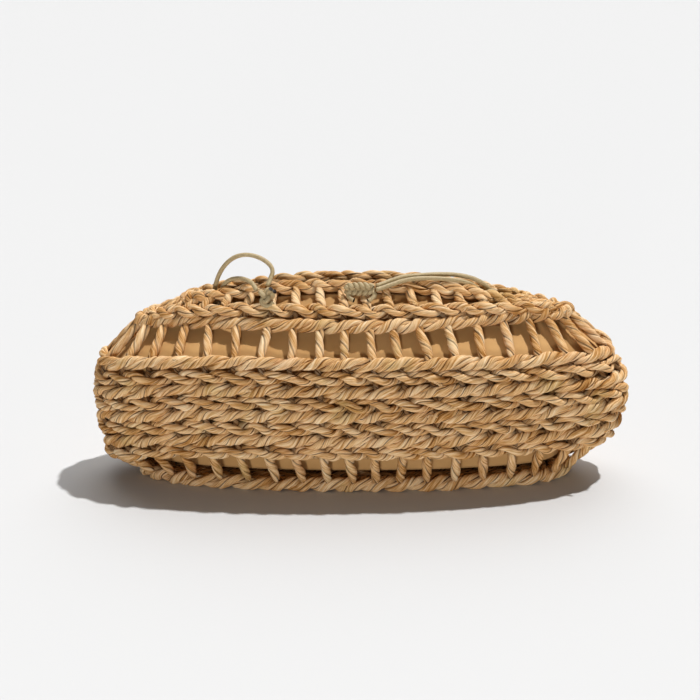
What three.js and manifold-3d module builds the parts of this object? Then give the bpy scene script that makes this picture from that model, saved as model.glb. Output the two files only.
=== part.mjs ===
// Oblong handbag of twined rope rings with a drawstring pouch inside.
// Millimetres, +Z up, origin on the floor under the middle of the bag.
// X runs along the bag, the mouth is a long slit on top, and -Y is the front.
import * as THREE from 'three';
import { mergeVertices } from 'three/addons/utils/BufferGeometryUtils.js';
import Module from 'manifold-3d';

const wasm = await Module();
wasm.setup();

// Overall sizes of the woven shell
const bagWidth = 332;           // along X over the belly rows
const bagDepth = 114.6;         // along Y over the belly rows
const bagHeight = 128.2;        // floor to the top of the rim rope

// Ropes
const rowThickness = 7.4;       // a twined row, through the wall
const rowHeight = 7.6;          // a twined row, up the wall
const rimThickness = 7.6;       // the round rope that borders the mouth
const stakeDiameter = 6;        // the upright twisted ropes in the openwork
const stakeCount = 40;

// Base and pouch
const baseThickness = 7.2;      // oval floor of flat rope rounds
const pouchWall = 1.6;
const pouchGap = 1.2;           // pouch cloth to the inside of the rows
const pouchFloorGap = 0.4;      // pouch floor above the woven base
const floorSlope = 12;          // sloping edge of the pouch floor, along the floor
const floorRise = 3.6;          // and how far it rises
const floorRound = 1.4;         // small round between the floor and the band above it
const pouchBand = 9;            // stiff upright band round the floor, up to its seam
const hemDrop = 6.5;            // pouch hem below the middle of the rim rope
const hemHalfOpening = 9;       // half the slit of the pouch, along Y

// Drawcords
const cordDiameter = 3;
const pieceGap = 0.35;          // between pieces that touch on the real bag
const smallestEnd = 0.6;        // tightest end radius of any plan

// Facets
const roundSteps = 48;
const stakeSides = 4;
const cordSides = 8;

const bellyX = (bagWidth - rowThickness) / 2;
const bellyY = (bagDepth - rowThickness) / 2;
const rimZ = bagHeight - rimThickness / 2;

// Middle line of each ring of rope, from the floor up. width, depth: half sizes as shares of the
// belly's. height: share of the rim's height. end: radius of the round ends, as a share of the
// ring's own half depth. pinch: how much the ring narrows towards its ends. left, right: how far
// the ends sag, and back: how much further they sag behind, as shares of the rim's height.
// late: how late the sag sets in. shift: sideways, as a share of the belly's half width.
// slide: stakes moved along the ring, in stake gaps. spread: how much wider the stakes stand at
// the tips than along the front. crowd: how much wider at both than at the corners between them.
const ringColumns = [
  'width', 'depth', 'height', 'end', 'pinch', 'left', 'right', 'back', 'late', 'shift', 'slide', 'spread',
  'crowd',
];
const ringTable = {
  foot: [0.815, 0.655, 0.033, 0.4, 0, 0, 0, 0, 4, -0.023, 0.55, -0.17, -0.18],
  'row 8': [0.964, 0.931, 0.249, 0.4, 0, 0.125, 0.015, 0, 4.4, -0.004, 0.24, 0.08, 0],
  'row 7': [0.981, 0.96, 0.315, 0.4, 0, 0.12, 0.023, 0, 4.4, 0, 0.26, 0.08, 0],
  'row 6': [0.991, 0.983, 0.381, 0.4, 0, 0.113, 0.029, 0, 4.4, 0, 0.27, 0.08, 0.01],
  'row 5': [1, 0.995, 0.447, 0.4, 0, 0.117, 0.034, 0, 4.4, 0, 0.29, 0.08, 0.01],
  'row 4': [1, 1, 0.512, 0.4, 0, 0.121, 0.038, 0, 4.4, -0.003, 0.3, 0.08, 0.02],
  'row 3': [0.999, 0.995, 0.578, 0.4, 0, 0.122, 0.042, 0, 4.4, -0.01, 0.32, 0.08, 0.02],
  'row 2': [0.983, 0.983, 0.644, 0.4, 0, 0.116, 0.042, 0, 4.4, -0.017, 0.33, 0.08, 0.03],
  'row 1': [0.962, 0.966, 0.71, 0.4, 0, 0.105, 0.043, 0, 4.4, -0.024, 0.35, 0.08, 0.03],
  'shoulder low': [0.813, 0.64, 0.857, 0.16, 0.7, 0.052, 0.006, 0, 3, -0.029, 0.28, -0.28, -0.27],
  'shoulder high': [0.764, 0.53, 0.919, 0.19, 0.38, 0.065, 0.035, 0.035, 3, -0.025, 0.22, -0.21, -0.15],
  rim: [0.641, 0.158, 1, 0.9, 0, 0.082, 0.095, 0.01, 2.2, -0.019, 0.05, -0.43, -0.19],
};
const rings = Object.entries(ringTable).map(([name, values]) => ({
  name,
  ...Object.fromEntries(ringColumns.map((column, i) => [column, values[i]])),
}));
const ringOf = Object.fromEntries(rings.map((ring, index) => [ring.name, index]));
const frontPhase = 0.31;        // first stake off the middle of the front, in stake gaps

// Corner of a row's section at the free edge of its wall, and the circle that holds the section
const edgeOut = 0.3 * rowThickness;
const edgeUp = 0.46 * rowHeight;
const rowReach = Math.hypot(rowThickness / 2, edgeUp);
const footReach = 0.58 * rowHeight;   // the flat top of the border row, where the lowest stakes end
const planSamples = 720;
const planStep = 0.004;               // angle step for the plan's direction

// Plan of a ring: a pinched ellipse grown outward by the end radius, so its ends stay round
function planCurve(halfX, halfY, endRadius, pinch) {
  const coreX = halfX - endRadius;
  const coreY = halfY - endRadius;
  const core = (angle) => {
    const narrow = 1 - pinch * Math.cos(angle) ** 2;
    return new THREE.Vector2(coreX * Math.cos(angle), coreY * Math.sin(angle) * narrow);
  };
  const points = [];
  for (let i = 0; i <= planSamples; i++) {
    const angle = (i / planSamples) * 2 * Math.PI;
    const along = core(angle + planStep).sub(core(angle - planStep));
    const outward = new THREE.Vector2(along.y, -along.x).normalize();
    points.push(core(angle).addScaledVector(outward, endRadius));
  }
  const lengths = [0];
  for (let i = 1; i <= planSamples; i++) lengths.push(lengths[i - 1] + points[i].distanceTo(points[i - 1]));
  return { points, lengths, total: lengths[planSamples] };
}

function pointAtShare(plan, share) {
  const target = (share - Math.floor(share)) * plan.total;
  let low = 0;
  let high = planSamples;
  while (high - low > 1) {
    const middle = (low + high) >> 1;
    if (plan.lengths[middle] <= target) low = middle;
    else high = middle;
  }
  const part = (target - plan.lengths[low]) / (plan.lengths[high] - plan.lengths[low]);
  return plan.points[low].clone().lerp(plan.points[high], part);
}

// Plan of a ring moved inward by an inset, worked out once for each inset
const plans = new Map();
function planOf(index, inset) {
  const key = index + ':' + inset;
  if (!plans.has(key)) {
    const ring = rings[index];
    const halfX = ring.width * bellyX - inset;
    const halfY = ring.depth * bellyY - inset;
    const endRadius = Math.max(ring.end * ring.depth * bellyY - inset, smallestEnd);
    plans.set(key, { halfX, halfY, curve: planCurve(halfX, halfY, endRadius, ring.pinch) });
  }
  return plans.get(key);
}

// Point on a ring's middle line, or inset from it; turn runs from 0 to 1 from the right end
function ringPoint(index, turn, inset = 0) {
  const ring = rings[index];
  const plan = planOf(index, inset);
  const moved = turn + ring.slide / stakeCount;
  const twice = 4 * Math.PI;
  const wider = ring.spread * Math.sin(twice * moved) + 0.5 * ring.crowd * Math.sin(2 * twice * moved);
  const flat = pointAtShare(plan.curve, moved + wider / twice);
  const reach = Math.min(1, Math.abs(flat.x) / plan.halfX);
  const behind = 0.5 + (0.5 * flat.y) / plan.halfY;
  const sag = (flat.x < 0 ? ring.left : ring.right) + ring.back * behind;
  const drop = sag * rimZ * Math.pow(reach, ring.late);
  return new THREE.Vector3(flat.x + ring.shift * bellyX, flat.y, ring.height * rimZ - drop);
}

// Directions at a ring point: along the ring, up the wall towards the next ring, and outward
function ringFrame(index, turn, below, above) {
  const step = 0.002;
  const along = ringPoint(index, turn + step).sub(ringPoint(index, turn - step)).normalize();
  const up = ringPoint(above, turn).sub(ringPoint(below, turn));
  up.addScaledVector(along, -up.dot(along)).normalize();
  const out = along.clone().cross(up).normalize();
  return { at: ringPoint(index, turn), along, up, out };
}

function offsetPoint(frame, out, up) {
  return frame.at.clone().addScaledVector(frame.out, out).addScaledVector(frame.up, up);
}

// Closed solid from rows of points; with caps the first and last row close on a middle point
function skin(rows, capped) {
  const count = rows[0].length;
  const vertices = rows.flat();
  const faces = [];
  const last = capped ? rows.length - 1 : rows.length;
  for (let j = 0; j < last; j++) {
    const next = (j + 1) % rows.length;
    for (let i = 0; i < count; i++) {
      const k = (i + 1) % count;
      faces.push([j * count + i, j * count + k, next * count + k]);
      faces.push([j * count + i, next * count + k, next * count + i]);
    }
  }
  if (capped) {
    for (const j of [0, rows.length - 1]) {
      const middle = new THREE.Vector3();
      rows[j].forEach((point) => middle.addScaledVector(point, 1 / count));
      vertices.push(middle);
      const tip = vertices.length - 1;
      for (let i = 0; i < count; i++) {
        const k = (i + 1) % count;
        faces.push(j === 0 ? [tip, j * count + k, j * count + i] : [tip, j * count + i, j * count + k]);
      }
    }
  }
  let volume = 0;
  for (const [a, b, c] of faces) volume += vertices[a].dot(vertices[b].clone().cross(vertices[c])) / 6;
  const order = volume > 0 ? faces : faces.map(([a, b, c]) => [a, c, b]);
  const geometry = new THREE.BufferGeometry();
  geometry.setAttribute('position', new THREE.Float32BufferAttribute(vertices.flatMap((v) => [v.x, v.y, v.z]), 3));
  geometry.setIndex(order.flat());
  return geometry;
}

function toSolid(geometry) {
  const bare = geometry.clone();
  for (const name of ['normal', 'uv']) if (bare.getAttribute(name)) bare.deleteAttribute(name);
  const merged = mergeVertices(bare, 1e-4);
  const vertProperties = new Float32Array(merged.getAttribute('position').array);
  const triVerts = new Uint32Array(merged.getIndex().array);
  return new wasm.Manifold(new wasm.Mesh({ numProp: 3, vertProperties, triVerts }));
}

function toGeometry(solid) {
  const mesh = solid.getMesh();
  const geometry = new THREE.BufferGeometry();
  geometry.setAttribute('position', new THREE.BufferAttribute(new Float32Array(mesh.vertProperties), 3));
  geometry.setIndex(Array.from(mesh.triVerts));
  geometry.computeVertexNormals();
  return geometry;
}

// Wall of stacked rows: a ridge for each row outside, a smooth face inside
function rowWall(first, last) {
  const crest = rowThickness / 2;
  const valley = 0.36 * rowThickness;
  const outlines = [{ index: first, out: edgeOut, up: -edgeUp }];
  for (let index = first; index <= last; index++) {
    outlines.push({ index, out: crest, up: 0 });
    if (index < last) outlines.push({ index, out: valley, up: 0.5 * rowHeight });
  }
  outlines.push({ index: last, out: edgeOut, up: edgeUp }, { index: last, out: -edgeOut, up: edgeUp });
  for (let index = last; index >= first; index -= 2) outlines.push({ index, out: -crest, up: 0 });
  outlines.push({ index: first, out: -edgeOut, up: -edgeUp });
  return skin(
    outlines.map(({ index, out, up }) => {
      const row = [];
      for (let i = 0; i < roundSteps; i++) {
        const below = Math.max(first, index - 1);
        const above = Math.min(last, index + 1);
        row.push(offsetPoint(ringFrame(index, i / roundSteps, below, above), out, up));
      }
      return row;
    }),
    false,
  );
}

// One stake: a prism from inside its own ring to just short of the next ring, where the rings
// stand far enough apart for it to show
function stake(turn, from, to, reach) {
  const start = ringPoint(from, turn);
  const end = ringPoint(to, turn);
  const along = ringFrame(to, turn, Math.min(from, to), Math.max(from, to)).along;
  const axis = end.clone().sub(start);
  const normal = axis.clone().addScaledVector(along, -axis.dot(along)).normalize();
  if (axis.dot(normal) - reach - pieceGap < rowReach) return null;
  const stop = end.clone().addScaledVector(axis, -(reach + pieceGap) / axis.dot(normal));
  const side = along.clone().addScaledVector(normal, -along.dot(normal)).normalize();
  const across = normal.clone().cross(side).normalize();
  const rows = [start, stop].map((middle) => {
    const row = [];
    for (let i = 0; i < stakeSides; i++) {
      const angle = ((i + 0.25) / stakeSides) * 2 * Math.PI;
      row.push(
        middle.clone()
          .addScaledVector(side, (stakeDiameter / 2) * Math.cos(angle))
          .addScaledVector(across, (stakeDiameter / 2) * Math.sin(angle)),
      );
    }
    return row;
  });
  return toSolid(skin(rows, true));
}

function stakeTurn(number) {
  return 0.75 + (number + frontPhase) / stakeCount;
}

function stakes(from, to, reach) {
  const all = [];
  for (let number = 0; number < stakeCount; number++) all.push(stake(stakeTurn(number), from, to, reach));
  return all.filter((part) => part !== null);
}

// Oval floor of flat rounds inside one thick border row; its underside is flat on the floor
function baseSolid() {
  const index = ringOf.foot;
  const halfRow = rowThickness / 2;
  const top = ringPoint(index, 0).z + edgeUp;
  const lines = [
    { out: -0.1 * rowThickness, z: 0 },
    { out: 0.25 * rowThickness, z: 0 },
    { out: halfRow, z: 0.3 * rowHeight },
    { out: halfRow, z: top - 0.3 * rowHeight },
    { out: edgeOut, z: top },
    { out: -edgeOut, z: top },
    { out: -halfRow, z: baseThickness },
  ];
  const rows = lines.map(({ out, z }) => {
    const row = [];
    for (let i = 0; i < roundSteps; i++) {
      const frame = ringFrame(index, i / roundSteps, index, index + 1);
      const flat = new THREE.Vector3(frame.out.x, frame.out.y, 0).normalize();
      const point = frame.at.clone().addScaledVector(flat, out);
      point.z = z;
      row.push(point);
    }
    return row;
  });
  return skin(rows, true);
}

// The eight dense rows of the body, with the bare stakes of the lowest open band below them
function bellySolid() {
  const first = ringOf['row 8'];
  let solid = toSolid(rowWall(first, ringOf['row 1']));
  for (const part of stakes(first, ringOf.foot, footReach)) solid = solid.add(part);
  return toGeometry(solid);
}

// The shoulder rows, with the bare stakes of the open bands below and above them
function shoulderSolid() {
  const first = ringOf['shoulder low'];
  const last = ringOf['shoulder high'];
  let solid = toSolid(rowWall(first, last));
  for (const part of stakes(first, ringOf['row 1'], rowReach)) solid = solid.add(part);
  for (const part of stakes(last, ringOf.rim, rimThickness / 2)) solid = solid.add(part);
  return toGeometry(solid);
}

// Round rope that borders the mouth
function rimSolid() {
  const sides = 8;
  const index = ringOf.rim;
  const rows = [];
  for (let j = 0; j < sides; j++) {
    const angle = ((j + 0.5) / sides) * 2 * Math.PI;
    const row = [];
    for (let i = 0; i < roundSteps; i++) {
      const frame = ringFrame(index, i / roundSteps, index - 1, index);
      const flat = new THREE.Vector3(frame.along.y, -frame.along.x, 0).normalize();
      const upward = flat.clone().cross(frame.along).multiplyScalar(-1).normalize();
      row.push(
        frame.at.clone()
          .addScaledVector(flat, (rimThickness / 2) * Math.cos(angle))
          .addScaledVector(upward, (rimThickness / 2) * Math.sin(angle)),
      );
    }
    rows.push(row);
  }
  return skin(rows, false);
}

// Cloth pouch inside the rows, with a flat floor and an open hem under the rim.
// inset: inward from the ring's middle line. lower: down from it. length: kept share of its length.
function pouchSolid() {
  const clear = rowThickness / 2 + pouchGap;
  const floorZ = baseThickness + pouchFloorGap;
  const hemInset = rings[ringOf.rim].depth * bellyY - hemHalfOpening - pouchWall;
  const underFoot = ringPoint(ringOf.foot, 0).z - floorZ;
  const edge = underFoot - floorRise;
  const levels = [
    { ring: 'foot', inset: clear + floorSlope, lower: underFoot, floor: true },
    { ring: 'foot', inset: clear + floorRound, lower: edge, floor: true },
    { ring: 'foot', inset: clear, lower: edge - floorRound, floor: true },
    { ring: 'foot', inset: clear - floorRound, lower: edge - pouchBand },
    { ring: 'row 8', inset: 1.15 * clear, lower: 0 },
    { ring: 'row 5', inset: clear, lower: 0 },
    { ring: 'row 1', inset: clear + pouchGap, lower: 0 },
    { ring: 'shoulder low', inset: clear, lower: 0.9 * clear },
    { ring: 'shoulder high', inset: 0.75 * clear, lower: 1.3 * clear, length: 0.97 },
    { ring: 'rim', inset: hemInset, lower: hemDrop, length: 0.92 },
  ];
  const wallRows = (inward) =>
    levels.map(({ ring, inset, lower, floor, length = 1 }) => {
      const middleX = rings[ringOf[ring]].shift * bellyX;
      const row = [];
      for (let i = 0; i < roundSteps; i++) {
        const point = ringPoint(ringOf[ring], i / roundSteps, inset + inward);
        point.x = middleX + (point.x - middleX) * length;
        point.z -= floor ? lower - inward : lower;
        row.push(point);
      }
      return row;
    });
  return skin([...wallRows(0), ...wallRows(pouchWall).reverse()], true);
}

// Drawcord routes from knot to hem, chosen by hand: [x, y, z] in millimetres
const cordRoutes = {
  left_cord_a: [
    [-56.8, -16.6, 126.9], [-55, -12.6, 130.6], [-54, -10.6, 133.2], [-54.4, -8.8, 135.6], [-56.4, -7.3, 138],
    [-59.8, -6, 140.2], [-64, -4.9, 141.8], [-68.6, -3.9, 142.5], [-73.2, -3, 142], [-77.6, -2.1, 140.2],
    [-81.4, -1.3, 137.2], [-84.6, -0.5, 133.3], [-87.2, 0.3, 128.6], [-89.1, 1, 123.4], [-90.3, 1.5, 118],
    [-90.8, 2.3, 113.4], [-90.6, 4.2, 109.8], [-90.4, 6.6, 108],
  ],
  left_cord_b: [
    [-63.4, -19, 124.7], [-64.8, -17, 126.5], [-66, -14.8, 127.5], [-67.9, -12.2, 128.2], [-70.2, -9.8, 128.5],
    [-72.5, -7.4, 128.4], [-74.9, -5.8, 128.1], [-77.3, -4.4, 127.5], [-79.6, -3.2, 126.6], [-81.8, -2.3, 125.2],
    [-83.7, -1.8, 123.2], [-85.2, -1.6, 120.6], [-86.1, -1.7, 117.4], [-86.6, -2.4, 114.2], [-86.9, -4.6, 111.2],
    [-87.1, -7.5, 110.1],
  ],
  right_cord_a: [
    [8.9, -17.4, 127], [12.6, -15.9, 127.8], [16.4, -14, 128.7], [20.2, -11.9, 129.5], [24.4, -9.9, 130.1],
    [29.2, -8.1, 130.3], [34.4, -6.5, 130.2], [39.8, -5, 130.2], [45.2, -3.5, 130], [50.4, -2.1, 129.6],
    [55.4, -0.9, 129.1], [60.4, 0.1, 128.2], [65.4, 0.8, 127], [70.2, 1, 125.2], [74.6, 0.9, 122.7],
    [78, 0.8, 119.4], [80, 1, 115.5], [81, 2.2, 111.9], [81.6, 4.8, 109.4], [81.9, 7.5, 108.9],
  ],
  right_cord_b: [
    [8.8, -20.8, 125.7], [12.4, -19.4, 126.3], [16, -17.6, 127.1], [19.8, -15.6, 127.8], [23.8, -13.6, 128.6],
    [28.2, -11.9, 129.1], [33, -10.5, 129.4], [38, -9.4, 129.3], [43, -8.6, 129.1], [48, -7.9, 128.6],
    [53, -7.2, 127.9], [57.8, -6.3, 127.1], [62.2, -5.2, 125.8], [66.4, -3.9, 124], [70, -2.6, 121.4],
    [72.6, -2, 118.2], [74.4, -2, 114.7], [75.6, -3, 111.8], [76.3, -5.3, 110.4], [76.8, -7.5, 110.4],
  ],
};
const leftKnot = { at: [-57.5, -21.8, 122.9], halfSizes: [5.2, 6.2, 4.3], slope: 28 };
const rightKnot = { at: [-1, -18, 127], radius: 3.5, length: 18.5 };

function cordTube(route) {
  const curve = new THREE.CatmullRomCurve3(route.map((point) => new THREE.Vector3(...point)));
  const section = new THREE.Shape();
  for (let i = 0; i < cordSides; i++) {
    const angle = (i / cordSides) * 2 * Math.PI;
    const x = (cordDiameter / 2) * Math.cos(angle);
    const y = (cordDiameter / 2) * Math.sin(angle);
    if (i === 0) section.moveTo(x, y);
    else section.lineTo(x, y);
  }
  const steps = Math.ceil(curve.getLength() / (2 * cordDiameter));
  return new THREE.ExtrudeGeometry(section, { steps, bevelEnabled: false, extrudePath: curve });
}

function leftKnotGeometry() {
  const { at, halfSizes, slope } = leftKnot;
  const ball = new THREE.SphereGeometry(1, 12, 6).scale(...halfSizes);
  return ball.rotateX(THREE.MathUtils.degToRad(slope)).translate(...at);
}

function rightKnotGeometry() {
  const { at, radius, length } = rightKnot;
  return new THREE.CapsuleGeometry(radius, length - 2 * radius, 3, 10).rotateZ(Math.PI / 2).translate(...at);
}

const straw = new THREE.MeshStandardMaterial({ color: '#c79f68', roughness: 0.75, metalness: 0 });
const strawDark = new THREE.MeshStandardMaterial({ color: '#b98f58', roughness: 0.8, metalness: 0 });
const lining = new THREE.MeshStandardMaterial({ color: '#b98d55', roughness: 0.85, metalness: 0 });
const cordage = new THREE.MeshStandardMaterial({ color: '#b3a07e', roughness: 0.6, metalness: 0 });

const bag = new THREE.Group();

function addPiece(name, geometry, material) {
  const mesh = new THREE.Mesh(geometry, material);
  mesh.name = name;
  bag.add(mesh);
}

addPiece('base_weave', baseSolid(), strawDark);
addPiece('belly_weave', bellySolid(), straw);
addPiece('shoulder_braid', shoulderSolid(), straw);
addPiece('rim_braid', rimSolid(), straw);
addPiece('lining_pouch', pouchSolid(), lining);
addPiece('left_knot', leftKnotGeometry(), cordage);
addPiece('right_knot', rightKnotGeometry(), cordage);
for (const [name, route] of Object.entries(cordRoutes)) addPiece(name, cordTube(route), cordage);

export default bag;
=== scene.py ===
import bpy
import numpy as np
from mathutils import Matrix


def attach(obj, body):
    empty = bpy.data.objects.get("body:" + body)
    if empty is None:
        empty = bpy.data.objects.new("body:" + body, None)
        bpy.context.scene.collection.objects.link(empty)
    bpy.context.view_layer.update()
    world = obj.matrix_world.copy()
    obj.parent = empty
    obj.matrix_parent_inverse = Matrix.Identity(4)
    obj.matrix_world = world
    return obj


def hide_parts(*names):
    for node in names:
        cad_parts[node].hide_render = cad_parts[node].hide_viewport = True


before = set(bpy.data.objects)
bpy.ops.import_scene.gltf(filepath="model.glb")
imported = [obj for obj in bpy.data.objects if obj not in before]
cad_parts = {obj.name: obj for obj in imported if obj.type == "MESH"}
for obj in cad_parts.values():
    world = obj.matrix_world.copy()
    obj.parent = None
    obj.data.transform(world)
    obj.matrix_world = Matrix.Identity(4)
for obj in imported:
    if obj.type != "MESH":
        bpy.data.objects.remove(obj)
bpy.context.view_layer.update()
print("stage: frame loaded")

mm = 0.001
up3 = np.array([0.0, 0.0, 1.0])

# sizes that the whole bag shares, the same as in the part's source
bag = dict(
    width=332 * mm,
    depth=114.6 * mm,
    height=128.2 * mm,
    rowThickness=7.4 * mm,    # a twined row through the wall
    rimThickness=7.6 * mm,
    baseThickness=7.2 * mm,
    stakeCount=40,
    firstStake=0.31,          # first stake off the middle of the front, in stake gaps
)
halfLength = (bag["width"] - bag["rowThickness"]) / 2
halfDepth = (bag["depth"] - bag["rowThickness"]) / 2
rimZ = bag["height"] - bag["rimThickness"] / 2

# middle line of each ring of rope, as shares of the belly's half sizes and of the rim's height
ringColumns = ("width", "depth", "height", "end", "pinch", "left", "right", "back", "late", "shift",
               "slide", "spread", "crowd")
ringTable = {
    "foot": (0.815, 0.655, 0.033, 0.4, 0, 0, 0, 0, 4, -0.023, 0.55, -0.17, -0.18),
    "row 8": (0.964, 0.931, 0.249, 0.4, 0, 0.125, 0.015, 0, 4.4, -0.004, 0.24, 0.08, 0),
    "row 7": (0.981, 0.96, 0.315, 0.4, 0, 0.12, 0.023, 0, 4.4, 0, 0.26, 0.08, 0),
    "row 6": (0.991, 0.983, 0.381, 0.4, 0, 0.113, 0.029, 0, 4.4, 0, 0.27, 0.08, 0.01),
    "row 5": (1, 0.995, 0.447, 0.4, 0, 0.117, 0.034, 0, 4.4, 0, 0.29, 0.08, 0.01),
    "row 4": (1, 1, 0.512, 0.4, 0, 0.121, 0.038, 0, 4.4, -0.003, 0.3, 0.08, 0.02),
    "row 3": (0.999, 0.995, 0.578, 0.4, 0, 0.122, 0.042, 0, 4.4, -0.01, 0.32, 0.08, 0.02),
    "row 2": (0.983, 0.983, 0.644, 0.4, 0, 0.116, 0.042, 0, 4.4, -0.017, 0.33, 0.08, 0.03),
    "row 1": (0.962, 0.966, 0.71, 0.4, 0, 0.105, 0.043, 0, 4.4, -0.024, 0.35, 0.08, 0.03),
    "shoulder low": (0.813, 0.64, 0.857, 0.16, 0.7, 0.052, 0.006, 0, 3, -0.029, 0.28, -0.28, -0.27),
    "shoulder high": (0.764, 0.53, 0.919, 0.19, 0.38, 0.065, 0.035, 0.035, 3, -0.025, 0.22, -0.21, -0.15),
    "rim": (0.641, 0.158, 1, 0.9, 0, 0.082, 0.095, 0.01, 2.2, -0.019, 0.05, -0.43, -0.19),
}
ringNames = list(ringTable)
rings = {name: dict(zip(ringColumns, values)) for name, values in ringTable.items()}


# CAMERA, first, because the cords are measured against its view
camera = dict(
    aim=64 * mm,              # height of the point on the bag's middle that it looks at
    distance=1.3,
    elevation=20,
    lens=107.4,
    sensor=36,
    picture=700,              # pixels across
    aimPixel=(361.5, 374),    # where that point lies: the bag stands a little right of and below the middle
)
cam = bpy.data.objects.new("camera", bpy.data.cameras.new("camera"))
bpy.context.scene.collection.objects.link(cam)
bpy.context.scene.camera = cam
tilt = np.radians(camera["elevation"])
cam.location = (0, -camera["distance"] * np.cos(tilt), camera["aim"] + camera["distance"] * np.sin(tilt))
cam.rotation_euler = (np.pi / 2 - tilt, 0, 0)
cam.data.lens = camera["lens"]
cam.data.sensor_width = camera["sensor"]
cam.data.shift_x = (camera["picture"] / 2 - camera["aimPixel"][0]) / camera["picture"]
cam.data.shift_y = (camera["aimPixel"][1] - camera["picture"] / 2) / camera["picture"]


# MESH HELPERS
def unit(v):
    return v / np.linalg.norm(v, axis=-1, keepdims=True)


def slope(line, closed):
    # direction along a line of points, from the points before and after each one
    if closed:
        return unit(np.roll(line, -1, 0) - np.roll(line, 1, 0))
    return unit(np.gradient(line, axis=0))


def wander(rng, turn, fastest, waves=7):
    # smooth closed noise of about -1 to 1: a sum of sines that fit a whole number of times
    cycles = rng.integers(1, fastest + 1, waves)
    starts = rng.random(waves) * 2 * np.pi
    return np.sin(2 * np.pi * turn[..., None] * cycles + starts).sum(-1) / np.sqrt(waves)


def buildPiece(name, parts, material, replaced=()):
    # Each part is a grid of points closed around its section. It is closed along itself too, or each
    # end is shut with a fan on a middle point. The faces are listed so that they point outward for
    # sections that run clockwise as seen along the part
    points, quads, tris, values, start = [], [], [], {}, 0
    for part in parts:
        grid = part["points"]
        n, m = grid.shape[:2]
        i, j = np.meshgrid(np.arange(n if part["closed"] else n - 1), np.arange(m), indexing="ij")
        a, b = start + i * m, start + ((i + 1) % n) * m
        quads.append(np.stack([a + j, a + (j + 1) % m, b + (j + 1) % m, b + j], -1).reshape(-1, 4))
        extra = 0
        if not part["closed"]:
            extra = 2
            k = np.arange(m)
            first, last, far = start + n * m, start + n * m + 1, start + (n - 1) * m
            tris.append(np.stack([np.full(m, first), start + (k + 1) % m, start + k], -1))
            tris.append(np.stack([np.full(m, last), far + k, far + (k + 1) % m], -1))
        flat = grid.reshape(-1, 3)
        dent = part.get("dent", 0) * unit(grid[-2].mean(0) - grid[-1].mean(0)) if extra else 0
        points.append(flat if not extra else np.vstack([flat, grid[0].mean(0), grid[-1].mean(0) + dent]))
        for key, value in part["values"].items():
            wide = value.reshape(n * m, -1)
            if extra:
                ends = value.reshape(n, m, -1)
                wide = np.vstack([wide, ends[0].mean(0), ends[-1].mean(0)])
            values.setdefault(key, []).append(wide)
        start += n * m + extra
    points = np.vstack(points)
    quads = np.vstack(quads)
    tris = np.vstack(tris) if tris else np.zeros((0, 3), int)
    mesh = bpy.data.meshes.new(name)
    mesh.vertices.add(len(points))
    mesh.vertices.foreach_set("co", points.astype(np.float32).ravel())
    mesh.loops.add(quads.size + tris.size)
    mesh.loops.foreach_set("vertex_index", np.concatenate([quads.ravel(), tris.ravel()]).astype(np.int32))
    mesh.polygons.add(len(quads) + len(tris))
    starts = np.concatenate([np.arange(len(quads)) * 4, quads.size + np.arange(len(tris)) * 3])
    mesh.polygons.foreach_set("loop_start", starts.astype(np.int32))
    mesh.update(calc_edges=True)
    mesh.validate()
    for key, value in values.items():
        value = np.vstack(value)
        kind = "FLOAT_VECTOR" if value.shape[1] == 3 else "FLOAT"
        attribute = mesh.attributes.new(key, kind, "POINT")
        field = "vector" if kind == "FLOAT_VECTOR" else "value"
        attribute.data.foreach_set(field, value.astype(np.float32).ravel())
    mesh.shade_smooth()
    mesh.materials.append(material)
    piece = bpy.data.objects.new(name, mesh)
    bpy.context.scene.collection.objects.link(piece)
    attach(piece, "root")
    if replaced:
        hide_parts(*replaced)
    print(f"piece {name}: {2 * len(quads) + len(tris)} triangles")
    return piece


rope = dict(
    gather=0.27,              # how far the points are drawn towards the creases
    unevenTwist=0.8,          # radians
    creaseWidth=0.36,
    shadowWidth=0.17,         # width of the painted shade line along a crease
    shadow=0.9,
    ripples=(3, 4, 5, 7),     # folds round the section
)


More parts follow.
